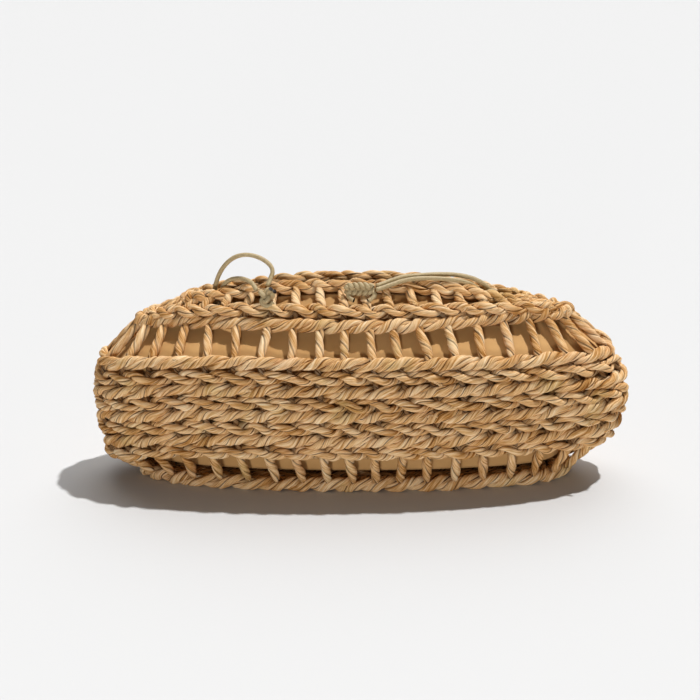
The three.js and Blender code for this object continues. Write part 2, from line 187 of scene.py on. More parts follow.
def ropeSurface(centre, sideways, halfSide, halfUp, turns, rng, closed, around, cut=0.3, folds=0.055,
                tone=0.0, deep=0.0):
    # A rope of two twisted plies carried along a line. The points sit at the angles a, closer together
    # near the two creases, and a turns with the twist, so the creases wind round the rope. The section
    # is an ellipse times 1 + 0.3 * cut - cut * exp(-(sin(a) / creaseWidth)^2) + folds * slow ripples of a
    n = len(centre)
    run = np.arange(n) / n if closed else np.linspace(0, 1, n)
    along = slope(centre, closed)
    side = unit(sideways - (sideways * along).sum(-1, keepdims=True) * along)
    above = np.cross(side, along)
    even = (np.arange(around) + 0.5) / around * 2 * np.pi
    a = np.broadcast_to(even - rope["gather"] * np.sin(2 * even), (n, around))
    twist = 2 * np.pi * turns * run + rope["unevenTwist"] * wander(rng, run, max(2, int(turns)))
    angle = twist[:, None] - a
    crease = np.exp(-((np.sin(a) / rope["creaseWidth"]) ** 2))
    ripple = sum(
        wander(rng, run, max(3, int(turns)))[:, None] * np.cos(k * a + rng.random() * 6.3)
        for k in rope["ripples"]
    )
    share = 1 + 0.3 * cut - cut * crease + folds * ripple
    halfSide = np.broadcast_to(halfSide, n)[:, None, None]
    halfUp = np.broadcast_to(halfUp, n)[:, None, None]
    points = (
        centre[:, None]
        + side[:, None] * halfSide * (share * np.cos(angle))[..., None]
        + above[:, None] * halfUp * (share * np.sin(angle))[..., None]
    )
    steps = np.linalg.norm(np.diff(centre, axis=0), axis=-1)
    length = np.concatenate([[0], np.cumsum(steps)])
    radius = float(np.mean(halfUp))
    ply = np.stack([np.broadcast_to(length[:, None], a.shape), radius * np.cos(a), radius * np.sin(a)], -1)
    shade = np.broadcast_to(np.asarray(tone, float).reshape(-1, 1), a.shape) + 0.3 * ripple
    shade = shade + 0.5 * np.sign(np.sin(a)) * wander(rng, run, max(3, int(turns / 3)))[:, None]
    # painted shade for the colour: a thin line along each crease between the plies when cut is not 0, plus
    # deep, the painted shade where the rope passes behind other rope
    line = rope["shadow"] * np.exp(-((np.sin(a) / rope["shadowWidth"]) ** 2)) if cut else 0 * a
    hidden = np.clip(line + np.asarray(deep, float).reshape(-1, 1), 0, 1)
    return dict(points=points, closed=closed, values=dict(ply=ply, tone=shade, paintedShade=hidden))


# RINGS
def planLine(halfX, halfY, endRadius, pinch):
    # ellipse of half sizes less the end radius, narrowed by pinch * cos^2, grown outward again
    angle = np.linspace(0, 2 * np.pi, 1441)

    def core(t):
        y = (halfY - endRadius) * np.sin(t) * (1 - pinch * np.cos(t) ** 2)
        return np.stack([(halfX - endRadius) * np.cos(t), y], -1)

    along = unit(core(angle + 0.004) - core(angle - 0.004))
    line = core(angle) + endRadius * np.stack([along[:, 1], -along[:, 0]], -1)
    length = np.concatenate([[0], np.cumsum(np.linalg.norm(np.diff(line, axis=0), axis=-1))])
    return line, length / length[-1]


def ringLine(name, turn, inset=0.0):
    # point of a ring's middle line; turn 0 is its right end and 0.75 the middle of the front
    ring = rings[name]
    halfX, halfY = ring["width"] * halfLength - inset, ring["depth"] * halfDepth - inset
    endRadius = max(ring["end"] * ring["depth"] * halfDepth - inset, 0.6 * mm)
    line, share = planLine(halfX, halfY, endRadius, ring["pinch"])
    moved = turn + ring["slide"] / bag["stakeCount"]
    twice = 4 * np.pi
    wider = ring["spread"] * np.sin(twice * moved) + 0.5 * ring["crowd"] * np.sin(2 * twice * moved)
    want = (moved + wider / twice) % 1
    x, y = np.interp(want, share, line[:, 0]), np.interp(want, share, line[:, 1])
    reach = np.minimum(1, np.abs(x) / halfX)
    sag = np.where(x < 0, ring["left"], ring["right"]) + ring["back"] * (0.5 + 0.5 * y / halfY)
    z = rimZ * (ring["height"] - sag * reach ** ring["late"])
    return np.stack([x + ring["shift"] * halfLength, y, z], -1)


def ringFrame(name, turn):
    # the ring's point, up the wall and outward there
    at = ringLine(name, turn)
    index = ringNames.index(name)
    low = ringNames[max(index - 1, 0)]
    high = ringNames[min(index + 1, len(ringNames) - 1)]
    along = slope(at, True)
    above = ringLine(high, turn) - ringLine(low, turn)
    above = unit(above - (above * along).sum(-1, keepdims=True) * along)
    return at, above, np.cross(along, above)


def stakePhase(turn):
    return (turn - 0.75) * bag["stakeCount"] - bag["firstStake"]


# MATERIALS
def linear(colour, alpha=1.0):
    # sRGB hex to linear
    value = np.array([int(colour[i:i + 2], 16) for i in (1, 3, 5)]) / 255
    value = np.where(value <= 0.04045, value / 12.92, ((value + 0.055) / 1.055) ** 2.4)
    return (*value, alpha)


def addNode(tree, kind, inputs=None, **settings):
    node = tree.nodes.new(kind)
    for key, value in settings.items():
        setattr(node, key, value)
    for key, value in (inputs or {}).items():
        if isinstance(value, bpy.types.NodeSocket):
            tree.links.new(value, node.inputs[key])
        else:
            node.inputs[key].default_value = value
    return node


def newMaterial(name, roughness, specular=0.5):
    material = bpy.data.materials.new(name)
    material.use_nodes = True
    tree = material.node_tree
    shader = tree.nodes["Principled BSDF"]
    shader.inputs["Roughness"].default_value = roughness
    shader.inputs["Specular IOR Level"].default_value = specular
    return material, tree, shader


def colourRamp(tree, factor, stops):
    ramp = addNode(tree, "ShaderNodeValToRGB", {"Fac": factor})
    elements = ramp.color_ramp.elements
    while len(elements) < len(stops):
        elements.new(0.5)
    for element, (position, colour) in zip(elements, stops):
        element.position = position
        element.color = linear(colour)
    return ramp.outputs["Color"]


straw = dict(
    roughness=0.8,
    specular=0.06,
    fibreLength=11 * mm,
    fibreWidth=0.5 * mm,      # real fibres are about half as wide, and wouldn't show
    wrinkleWidth=1.3 * mm,
    patch=26 * mm,            # lengths of one colour
    toneShare=0.13,           # how much the lengths of straw differ
    level=(0.72, 1.64),       # range of the grain that the colours span
    stops=((0.0, "#7a4715"), (0.28, "#bd884c"), (0.5, "#ddb07a"), (0.72, "#edc898"), (1.0, "#f9dfb6")),
    # colour of a patch, the noise where it starts and where it is full, and its strength there
    tints=(("#d3a07c", 0.6, 0.72, 0.22), ("#c3ad70", 0.4, 0.3, 0.3)),
    # painted shade: the colour the straw darkens to in its creases and behind the stakes
    paintedShadeColour="#3c1700",
    paintedShadeFrom=0.15,            # painted shade starts at this share and is full at the next value
    paintedShadeTo=0.85,
    paintedShadeMost=0.94,
    bump=0.5 * mm,
)


def twistedPaperStraw():
    # Twisted paper straw: dry and matt, with lengthwise wrinkles that have pale ridges and brown furrows,
    # painted shade in the creases between its plies and where rope passes behind other rope, and lengths of
    # straw that differ a little in colour
    material, tree, shader = newMaterial("twistedPaperStraw", straw["roughness"], straw["specular"])
    ply = addNode(tree, "ShaderNodeAttribute", attribute_name="ply").outputs["Vector"]
    tone = addNode(tree, "ShaderNodeAttribute", attribute_name="tone").outputs["Fac"]
    paintedShade = addNode(tree, "ShaderNodeAttribute", attribute_name="paintedShade").outputs["Fac"]
    where = addNode(tree, "ShaderNodeTexCoord").outputs["Object"]
    layers = []
    for width in (straw["fibreWidth"], straw["wrinkleWidth"]):
        scale = (1 / straw["fibreLength"], 1 / width, 1 / width)
        place = addNode(tree, "ShaderNodeVectorMath", {0: ply, 1: scale}, operation="MULTIPLY").outputs[0]
        grain = addNode(tree, "ShaderNodeTexNoise",
                        {"Vector": place, "Scale": 1.0, "Detail": 3.0, "Roughness": 0.6})
        layers.append(grain.outputs["Fac"])
    fine, wrinkle = layers
    patch = addNode(tree, "ShaderNodeTexNoise", {"Vector": where, "Scale": 1 / straw["patch"], "Detail": 2.0})
    mixed = addNode(tree, "ShaderNodeMath", {0: wrinkle, 1: 1.4, 2: fine},
                    operation="MULTIPLY_ADD").outputs[0]
    lit = addNode(tree, "ShaderNodeMath", {0: tone, 1: straw["toneShare"], 2: mixed},
                  operation="MULTIPLY_ADD").outputs[0]
    level = addNode(tree, "ShaderNodeMapRange",
                    {"Value": lit, "From Min": straw["level"][0], "From Max": straw["level"][1]}).outputs[0]
    colour = colourRamp(tree, level, straw["stops"])
    for tint, near, far, most in straw["tints"]:
        amount = addNode(tree, "ShaderNodeMapRange",
                         {"Value": patch.outputs["Fac"], "From Min": near, "From Max": far, "To Max": most})
        colour = addNode(tree, "ShaderNodeMix", {0: amount.outputs[0], 6: colour, 7: linear(tint)},
                         data_type="RGBA").outputs[2]
    # painted shade: the straw darkens towards the shade colour in the creases and where rope passes behind
    # other rope
    inside = addNode(tree, "ShaderNodeMapRange",
                     {"Value": paintedShade, "From Min": straw["paintedShadeFrom"], "From Max": straw["paintedShadeTo"],
                      "To Max": straw["paintedShadeMost"]})
    colour = addNode(tree, "ShaderNodeMix", {0: inside.outputs[0], 6: colour, 7: linear(straw["paintedShadeColour"])},
                     data_type="RGBA").outputs[2]
    tree.links.new(colour, shader.inputs["Base Color"])
    bump = addNode(tree, "ShaderNodeBump", {"Height": mixed, "Distance": straw["bump"], "Strength": 0.9})
    tree.links.new(bump.outputs[0], shader.inputs["Normal"])
    return material


strawMaterial = twistedPaperStraw()
print("stage: straw")


# TWINED ROWS
twining = dict(
    stepsPerStake=14,
    around=18,
    plyPitch=17.5 * mm,       # one full turn of the strand's two plies
    reach=1.8 * mm,           # how far a strand swings in front of the stakes and behind them
    lift=1.95 * mm,           # how far it rises and falls between two stakes
    backLift=2.5 * mm,        # the same in the rows that lean back, which are drawn tighter
    depth=2.4 * mm,           # half thickness of a strand, through the wall
    height=2.2 * mm,          # half height where two strands cross
    swell=0.75 * mm,          # how much higher it is in front of a stake
    slim=0.82,                # share of that height in the rows that lean back
    # how unevenly it is made by hand: phase, size, place outward and up, and tone
    unevenPhase=0.36,
    unevenSize=0.085,
    unevenOut=0.3 * mm,
    unevenUp=0.4 * mm,
    unevenTone=0.9,
    paintedShadeBehindStakes=0.55,             # most painted shade on a strand where it passes behind the stakes
)


def twinedRow(name, lean, rng, inset=0.0, flat=None, scale=1.0, lift=1.0, around=twining["around"]):
    # Two strands wind round each other once in two stakes: outward by reach * cos(phase) and up
    # by lean * lift * sin(phase), the phase growing by pi from stake to stake
    steps = bag["stakeCount"] * twining["stepsPerStake"]
    turn = np.arange(steps) / steps
    if flat is None:
        at, above, out = ringFrame(name, turn)
    else:
        at = ringLine(name, turn, inset)
        at[:, 2] = flat
        above = np.broadcast_to(up3, at.shape)
        out = np.cross(slope(at, True), above)
    length = np.linalg.norm(np.roll(at, -1, 0) - at, axis=-1).sum()
    rises, thin = (twining["lift"], 1) if lean > 0 else (twining["backLift"], twining["slim"])
    parts = []
    for strand in (0, 1):
        phase = np.pi * (stakePhase(turn) + strand) + twining["unevenPhase"] * wander(rng, turn, 34)
        front, rise = np.cos(phase), np.sin(phase)
        size = scale * (1 + twining["unevenSize"] * wander(rng, turn, 30))
        outward = scale * twining["reach"] * front + twining["unevenOut"] * wander(rng, turn, 34)
        upward = scale * rises * lift * lean * rise + twining["unevenUp"] * wander(rng, turn, 28)
        centre = at + out * outward[:, None] + above * upward[:, None]
        halfUp = thin * size * (twining["height"] + twining["swell"] * front ** 2)
        parts.append(ropeSurface(
            centre, out, size * twining["depth"], halfUp, round(length / twining["plyPitch"]), rng,
            True, around, tone=twining["unevenTone"] * wander(rng, turn, 26),
            # painted shade on the strand where it passes behind a stake
            deep=np.clip(-0.1 - 0.7 * front, 0, twining["paintedShadeBehindStakes"]),
        ))
    return parts


def rowsPiece(name, rows, seed, replaced):
    rng = np.random.default_rng(seed)
    parts = []
    for ring, lean in rows:
        parts += twinedRow(ring, lean, rng)
    return buildPiece(name, parts, strawMaterial, replaced)


# rows lean forward and back in turn, which gives the zigzag of the body
rowsPiece("bellyRowsUpper", (("row 1", 1), ("row 2", -1), ("row 3", 1), ("row 4", -1)), 11,
          ["belly_weave"])
rowsPiece("bellyRowsLower", (("row 5", 1), ("row 6", -1), ("row 7", 1), ("row 8", -1)), 12,
          ["belly_weave"])
rowsPiece("shoulderRows", (("shoulder low", 1), ("shoulder high", -1)), 13, ["shoulder_braid"])
print("stage: rows")


# FOOT AND FLOOR
floorRounds = dict(
    pitch=7.8 * mm,
    middle=3.5 * mm,          # height of their middle line
    scale=0.86,               # of the strands, against those of the body
    flatness=0.4,             # share of the rise and fall that is left
    around=14,
    borderScale=1.1,
    floorGap=0.1 * mm,
)


def footPiece():
    # one thick border row, and flat rounds laid inside it, each one pitch further in
    rng = np.random.default_rng(21)
    border = twinedRow("foot", 1, rng, scale=floorRounds["borderScale"])
    mat = []
    room = rings["foot"]["depth"] * halfDepth
    for k in range(1, int(room / floorRounds["pitch"]) + 1):
        mat += twinedRow("foot", 1 if k % 2 else -1, rng, inset=k * floorRounds["pitch"],
                         flat=floorRounds["middle"], scale=floorRounds["scale"],
                         lift=floorRounds["flatness"], around=floorRounds["around"])
    low = floorRounds["floorGap"]                       # pressed flat by the floor
    for part in border:
        part["points"][..., 2] = np.maximum(part["points"][..., 2], low)
    for part in mat:
        part["points"][..., 2] = np.clip(part["points"][..., 2], low, bag["baseThickness"])
    return buildPiece("footRows", border + mat, strawMaterial, ["base_weave"])


footPiece()
print("stage: foot")


# STAKES
stakeRope = dict(
    steps=110,
    around=14,
    plyPitch=11 * mm,
    thickness=5.3 * mm,
    hidden=0.66,              # share of the thickness left where the rows squeeze it
    toeOut=2.6 * mm,
    toeUp=1.6 * mm,
    toeShare=0.03,            # share of the stake that its rounded toe takes
    bands=(0.45, 8.5, 10.5),  # middles of the open bands, counted in rings from the foot
    bandHalf=0.5,
    unevenSize=0.09,
    sway=0.6 * mm,
)


def stakesPiece():
    # each stake runs through the middles of all the rings, thinner where the rows squeeze it, and
    # its rounded toe lies on the outside of the border row
    rng = np.random.default_rng(31)
    number = np.arange(bag["stakeCount"])
    turn = 0.75 + (number + bag["firstStake"]) / bag["stakeCount"]
    knots = np.stack([ringLine(name, turn) for name in ringNames])
    along = ringLine("foot", turn + 0.001) - ringLine("foot", turn - 0.001)
    outward = unit(along[:, [1, 0, 2]] * (1, -1, 0))
    knots[0] += stakeRope["toeOut"] * outward + stakeRope["toeUp"] * up3
    place = np.linspace(0, len(ringNames) - 1, stakeRope["steps"])
    bare = sum(np.exp(-(((place - middle) / stakeRope["bandHalf"]) ** 4)) for middle in stakeRope["bands"])
    tip = np.sqrt(1 - (1 - np.minimum(1, np.linspace(0, 1, len(place)) / stakeRope["toeShare"])) ** 2)
    parts = []
    for k in number:
        line = np.stack([np.interp(place, np.arange(len(ringNames)), knots[:, k, axis])
                         for axis in range(3)], -1)
        run = np.linspace(0, 1, len(line))
        size = 0.5 * stakeRope["thickness"] * (stakeRope["hidden"] + (1 - stakeRope["hidden"]) * bare)
        size = size * (1 + stakeRope["unevenSize"] * wander(rng, run, 16)) * np.maximum(tip, 0.15)
        side = unit(np.cross(slope(line, False), outward[k]))
        sway = stakeRope["sway"] * bare[:, None] * wander(rng, run, 12)[:, None] * side
        length = np.linalg.norm(np.diff(line, axis=0), axis=-1).sum()
        parts.append(ropeSurface(
            line + sway, np.broadcast_to(outward[k], line.shape), size, size,
            round(length / stakeRope["plyPitch"]), rng, False, stakeRope["around"],
            tone=0.5 * rng.normal() + 0.5 * wander(rng, run, 12),
            # painted shade on the stake where the rows cover it
            deep=0.7 * (1 - np.minimum(1, bare)),
        ))
    return buildPiece("stakes", parts, strawMaterial, ["belly_weave", "shoulder_braid"])


stakesPiece()
print("stage: stakes")


# RIM
rimRope = dict(scale=1.02)


def rimPiece():
    # the border of the mouth is a thick twined row that leans back
    rng = np.random.default_rng(41)
    parts = twinedRow("rim", -1, rng, scale=rimRope["scale"])
    return buildPiece("rimBraid", parts, strawMaterial, ["rim_braid"])


rimPiece()
print("stage: rim")


# LOOSE ENDS
looseEnds = dict(
    steps=24,
    around=12,
    width=1.5 * mm,
    thickness=1.0 * mm,
    # ring, front or back, x of the root, how far it points along x, outward and up, and its curl, in mm
    ends=(
        ("row 2", -1, 40, 8, 2.5, -2, -1.5), ("row 5", -1, 39, 6.5, 2, 2.5, -1),
        ("row 1", -1, -108, -5, 2, 3.5, 0), ("row 6", -1, 138, 6, 2.5, -3, 3),
        ("row 7", -1, 147, 4, 3, -1, 0), ("shoulder low", -1, 122, 4, 2, 3, 0),
        ("row 3", -1, -70, 5, 1.8, 2, -1), ("row 7", -1, -20, -6, 2, -2, 1),
        ("shoulder high", -1, 60, 5, 1.5, 2, 0),
        ("row 2", 1, -44, -7, 2.5, -2, -1), ("row 5", 1, 62, 6, 2, 2, -1), ("row 6", 1, -120, -5, 2.5, -2, 1),
        ("row 3", 1, 8, 6, 2, -2, 1.5), ("shoulder low", 1, 30, 5, 1.8, 2, 0),
    ),
)


def strawEnds():
    # short flat ends of straw that stick out of the rows: root + t * (x, outward, up) + t^2 * curl,
    # narrowing by the square root of 1 - 0.8 t^2
    rng = np.random.default_rng(45)
    t = np.linspace(0, 1, looseEnds["steps"])
    parts = []
    for name, face, x, alongX, outward, rise, curl in looseEnds["ends"]:
        turn = np.linspace(0.5, 1, 400) if face < 0 else np.linspace(0.5, 0, 400)
        line = ringLine(name, turn)
        root = np.array([np.interp(x * mm, line[:, 0], line[:, axis]) for axis in range(3)])
        away = np.array([0.35 * np.sign(x) * (abs(x) > 110), face, 0.0])
        root = root + unit(away) * 1.5 * mm
        reach = alongX * np.array([1.0, 0, 0]) + outward * unit(away) + rise * up3
        line = root + mm * (t[:, None] * reach + (t ** 2)[:, None] * curl * up3)
        narrow = np.sqrt(1 - 0.8 * t ** 2)
        parts.append(ropeSurface(
            line, np.broadcast_to(unit(away), line.shape), looseEnds["thickness"] * narrow,
            looseEnds["width"] * narrow, 1, rng, False, looseEnds["around"], tone=0.4 + 0.5 * rng.normal(),
        ))
    return buildPiece("strawEnds", parts, strawMaterial)


strawEnds()
print("stage: loose ends")


# POUCH
pouch = dict(
    wall=1.6 * mm,
    gap=1.2 * mm,             # cloth to the inside of the rows
    floorGap=0.4 * mm,
    floorSlope=12 * mm,
    floorRise=3.6 * mm,
    floorRound=1.4 * mm,
    band=9 * mm,              # stiff upright band round the floor, up to its seam
    hemDrop=4.8 * mm,
    hemHalfOpening=9 * mm,
    pleat=0.9 * mm,
    around=480,
)


cotton = dict(
    roughness=0.85,
    specular=0.25,
    cloud=30 * mm,
    deep="#bb8f58",
    pale="#cda26a",
    seam="#7c5628",
    stitch="#dcb985",
    stitchPitch=2.8,          # in millimetres, as the attribute cloth is
    stitchLength=2.0,
    thread=0.7 * mm,          # real threads are about 0.25 mm apart, and wouldn't show
    bump=0.1 * mm,
)


def pouchCotton():
    # Plain cotton: matt, a fine even weave with thread ends that catch the light, soft cloudy
    # wear, and a row of stitches where the cloth is sewn; the attribute cloth holds millimetres
    # round the pouch and millimetres from the seam
    material, tree, shader = newMaterial("pouchCotton", cotton["roughness"], cotton["specular"])
    where = addNode(tree, "ShaderNodeTexCoord").outputs["Object"]
    cloth = addNode(tree, "ShaderNodeAttribute", attribute_name="cloth").outputs["Vector"]
    axes = addNode(tree, "ShaderNodeSeparateXYZ", {"Vector": cloth}).outputs
    cloud = addNode(tree, "ShaderNodeTexNoise",
                    {"Vector": where, "Scale": 1 / cotton["cloud"], "Detail": 4.0})
    colour = colourRamp(tree, cloud.outputs["Fac"], ((0.3, cotton["deep"]), (0.7, cotton["pale"])))
    dash = addNode(tree, "ShaderNodeMath", {0: axes[0], 1: cotton["stitchPitch"]},
                   operation="MODULO").outputs[0]
    dash = addNode(tree, "ShaderNodeMath", {0: dash, 1: cotton["stitchLength"]},
                   operation="LESS_THAN").outputs[0]
    off = addNode(tree, "ShaderNodeMath", {0: axes[1]}, operation="ABSOLUTE").outputs[0]
    near = addNode(tree, "ShaderNodeMapRange", {"Value": off, "From Min": 0.45, "From Max": 0.2}).outputs[0]
    stitch = addNode(tree, "ShaderNodeMath", {0: near, 1: dash}, operation="MULTIPLY").outputs[0]
    seam = addNode(tree, "ShaderNodeMapRange",
                   {"Value": off, "From Min": 0.9, "From Max": 0.1, "To Max": 0.5})
    for amount, tint in ((seam.outputs[0], cotton["seam"]), (stitch, cotton["stitch"])):
        colour = addNode(tree, "ShaderNodeMix", {0: amount, 6: colour, 7: linear(tint)},
                         data_type="RGBA").outputs[2]
    tree.links.new(colour, shader.inputs["Base Color"])
    thread = addNode(tree, "ShaderNodeTexNoise",
                     {"Vector": where, "Scale": 1 / cotton["thread"], "Detail": 2.0})
    height = addNode(tree, "ShaderNodeMath", {0: stitch, 1: 3.0, 2: thread.outputs["Fac"]},
                     operation="MULTIPLY_ADD")
    bump = addNode(tree, "ShaderNodeBump",
                   {"Height": height.outputs[0], "Distance": cotton["bump"], "Strength": 0.6})
    tree.links.new(bump.outputs[0], shader.inputs["Normal"])
    return material


def pouchPiece():
    # rounds of points at each level, outside going up and inside coming down, joined by straight
    # lines bent half way to a spline; pleats are small slow ripples across the wall
    clear = bag["rowThickness"] / 2 + pouch["gap"]
    underFoot = rings["foot"]["height"] * rimZ - bag["baseThickness"] - pouch["floorGap"]
    edge = underFoot - pouch["floorRise"]
    hemInset = rings["rim"]["depth"] * halfDepth - pouch["hemHalfOpening"] - pouch["wall"]
    levels = (      # ring, inset, how far below it, kept length, floor, pleats, stitched
        ("foot", clear + pouch["floorSlope"], underFoot, 1.0, 1, 0, 0),
        ("foot", clear + pouch["floorRound"], edge, 1.0, 1, 0, 0),
        ("foot", clear, edge - pouch["floorRound"], 1.0, 1, 0, 0),
        ("foot", clear - pouch["floorRound"], edge - pouch["band"], 1.0, 0, 0, 1),
        ("row 8", 1.15 * clear, 0, 1.0, 0, 0.3, 0),
        ("row 5", clear, 0, 1.0, 0, 0.3, 0),
        ("row 1", clear + pouch["gap"], 0, 1.0, 0, 0.6, 0),
        ("shoulder low", clear + 1.5 * mm, 0.9 * clear, 1.0, 0, 1, 0),
        ("shoulder high", 0.75 * clear, 0.8 * clear, 0.97, 0, 0.6, 1),
        ("rim", hemInset, pouch["hemDrop"], 0.92, 0, 0.2, 0),
    )
    turn = np.arange(pouch["around"]) / pouch["around"]
    rng = np.random.default_rng(51)
    folds = wander(rng, turn, 60, 12) * (0.35 + np.abs(np.cos(2 * np.pi * turn)) ** 6)

    def rounds(inward):
        rows = []
        for name, inset, lower, length, isFloor, pleats, stitched in levels:
            row = ringLine(name, turn, inset + inward)
            middle = rings[name]["shift"] * halfLength
            row[:, 0] = middle + (row[:, 0] - middle) * length
            row[:, 2] -= lower - inward if isFloor else lower
            outward = unit(np.cross(slope(row, True), up3))
            rows.append(row + pleats * pouch["pleat"] * folds[:, None] * outward)
        rows = np.stack(rows)
        places = np.arange(len(rows))
        fine = np.concatenate([np.linspace(k, k + 1, 11)[:-1] for k in places[:-1]] + [[places[-1]]])
        low = np.clip(np.floor(fine).astype(int), 0, len(rows) - 2)
        t = (fine - low)[:, None, None]
        before, after = rows[np.maximum(low - 1, 0)], rows[np.minimum(low + 2, len(rows) - 1)]
        here, there = rows[low], rows[low + 1]
        straight = here + (there - here) * t
        curved = 0.5 * (2 * here + (there - before) * t + (2 * before - 5 * here + 4 * there - after) * t ** 2
                        + (3 * here - before - 3 * there + after) * t ** 3)
        bend = np.where(low < 3, 0.0, 0.5)[:, None, None]
        grid = straight + bend * (curved - straight)
        climb = np.linalg.norm(np.diff(grid, axis=0), axis=-1)
        climb = np.concatenate([np.zeros((1, climb.shape[1])), np.cumsum(climb, 0)])
        seams = [climb[10 * k] for k, level in enumerate(levels) if level[-1]]
        fromSeam = np.stack([climb - seam for seam in seams])
        nearest = np.take_along_axis(fromSeam, np.abs(fromSeam).argmin(0)[None], 0)[0]
        length = np.concatenate([[0], np.cumsum(np.linalg.norm(np.diff(grid[40], axis=0), axis=-1))])
        cloth = np.stack([np.broadcast_to(length, nearest.shape), nearest, 0 * nearest], -1) / mm
        return grid, cloth

    (outside, outCloth), (inside, inCloth) = rounds(0.0), rounds(pouch["wall"])
    base, top = outside[0].mean(0), inside[0].mean(0)
    under = np.stack([base + (outside[0] - base) * share for share in (0.35, 0.7)])
    over = np.stack([top + (inside[0] - top) * share for share in (0.7, 0.35)])
    plain = np.full((2, pouch["around"], 3), 50.0)
    grid = np.concatenate([under, outside, inside[::-1], over])
    cloth = np.concatenate([plain, outCloth, inCloth[::-1], plain])
    wall = dict(points=grid, closed=False, values=dict(cloth=cloth))
    return buildPiece("liningPouch", [wall], pouchCotton(), ["lining_pouch"])


pouchPiece()
print("stage: pouch")


# DRAWCORDS AND KNOTS, their routes given as in the part's source, in millimetres
cordSize = dict(
    diameter=2.8 * mm,
    around=12,
    leftKnot=1.45 * mm,       # half thickness of the cord in the knots
    rightKnot=1.4 * mm,
    dent=1.2,                 # depth of the dent in a cut end, in half thicknesses
)
cordRoutes = {
    "left_cord_a": (
        (-56.8, -16.6, 126.9), (-55, -12.6, 130.6), (-54, -10.6, 133.2), (-54.4, -8.8, 135.6),
        (-56.4, -7.3, 138), (-59.8, -6, 140.2), (-64, -4.9, 141.8), (-68.6, -3.9, 142.5),
        (-73.2, -3, 142), (-77.6, -2.1, 140.2), (-81.4, -1.3, 137.2), (-84.6, -0.5, 133.3),
        (-87.2, 0.3, 128.6), (-89.1, 1, 123.4), (-90.3, 1.5, 118), (-90.8, 2.3, 113.4),
        (-90.6, 4.2, 109.8), (-90.4, 6.6, 108),
    ),
    "left_cord_b": (
        (-63.4, -19, 124.7), (-64.8, -17, 126.5), (-66, -14.8, 127.5), (-67.9, -12.2, 128.2),
        (-70.2, -9.8, 128.5), (-72.5, -7.4, 128.4), (-74.9, -5.8, 128.1), (-77.3, -4.4, 127.5),
        (-79.6, -3.2, 126.6), (-81.8, -2.3, 125.2), (-83.7, -1.8, 123.2), (-85.2, -1.6, 120.6),
        (-86.1, -1.7, 117.4), (-86.6, -2.4, 114.2), (-86.9, -4.6, 111.2), (-87.1, -7.5, 110.1),
    ),
    "right_cord_a": (
        (8.9, -17.4, 127), (12.6, -15.9, 127.8), (16.4, -14, 128.7), (20.2, -11.9, 129.5),
        (24.4, -9.9, 130.1), (29.2, -8.1, 130.3), (34.4, -6.5, 130.2), (39.8, -5, 130.2),
        (45.2, -3.5, 130), (50.4, -2.1, 129.6), (55.4, -0.9, 129.1), (60.4, 0.1, 128.2),
        (65.4, 0.8, 127), (70.2, 1, 125.2), (74.6, 0.9, 122.7), (78, 0.8, 119.4),
        (80, 1, 115.5), (81, 2.2, 111.9), (81.6, 4.8, 109.4), (81.9, 7.5, 108.9),
    ),
    "right_cord_b": (
        (8.8, -20.8, 125.7), (12.4, -19.4, 126.3), (16, -17.6, 127.1), (19.8, -15.6, 127.8),
        (23.8, -13.6, 128.6), (28.2, -11.9, 129.1), (33, -10.5, 129.4), (38, -9.4, 129.3),
        (43, -8.6, 129.1), (48, -7.9, 128.6), (53, -7.2, 127.9), (57.8, -6.3, 127.1),
        (62.2, -5.2, 125.8), (66.4, -3.9, 124), (70, -2.6, 121.4), (72.6, -2, 118.2),
        (74.4, -2, 114.7), (75.6, -3, 111.8), (76.3, -5.3, 110.4), (76.8, -7.5, 110.4),
    ),
}


wax = dict(
    roughness=0.52,
    specular=0.3,
    braidLength=1.2 * mm,     # about three times a real braid's, which wouldn't show
    braidWidth=0.5 * mm,
    deep="#a38e68",
    pale="#c0ac84",
    # colour of the painted shade on the dented cut ends
    paintedShade="#1d0f04",
    bump=0.12 * mm,
)


def waxedCord():
    # Waxed cotton cord: smooth, slightly greyer than the straw, with a fine round braid, and painted
    # shade, near black, on the dented cut ends
    material, tree, shader = newMaterial("waxedCord", wax["roughness"], wax["specular"])
    ply = addNode(tree, "ShaderNodeAttribute", attribute_name="ply").outputs["Vector"]
    scale = (1 / wax["braidLength"], 1 / wax["braidWidth"], 1 / wax["braidWidth"])
    place = addNode(tree, "ShaderNodeVectorMath", {0: ply, 1: scale}, operation="MULTIPLY").outputs[0]
    braid = addNode(tree, "ShaderNodeTexNoise", {"Vector": place, "Scale": 1.0, "Detail": 2.0})
    colour = colourRamp(tree, braid.outputs["Fac"], ((0.3, wax["deep"]), (0.7, wax["pale"])))
    # painted shade, near black, on the dented cut ends
    paintedShade = addNode(tree, "ShaderNodeAttribute", attribute_name="paintedShade").outputs["Fac"]
    colour = addNode(tree, "ShaderNodeMix", {0: paintedShade, 6: colour, 7: linear(wax["paintedShade"])},
                     data_type="RGBA").outputs[2]
    tree.links.new(colour, shader.inputs["Base Color"])
    bump = addNode(tree, "ShaderNodeBump",
                   {"Height": braid.outputs["Fac"], "Distance": wax["bump"], "Strength": 0.5})
    tree.links.new(bump.outputs[0], shader.inputs["Normal"])
    return material


cordMaterial = waxedCord()


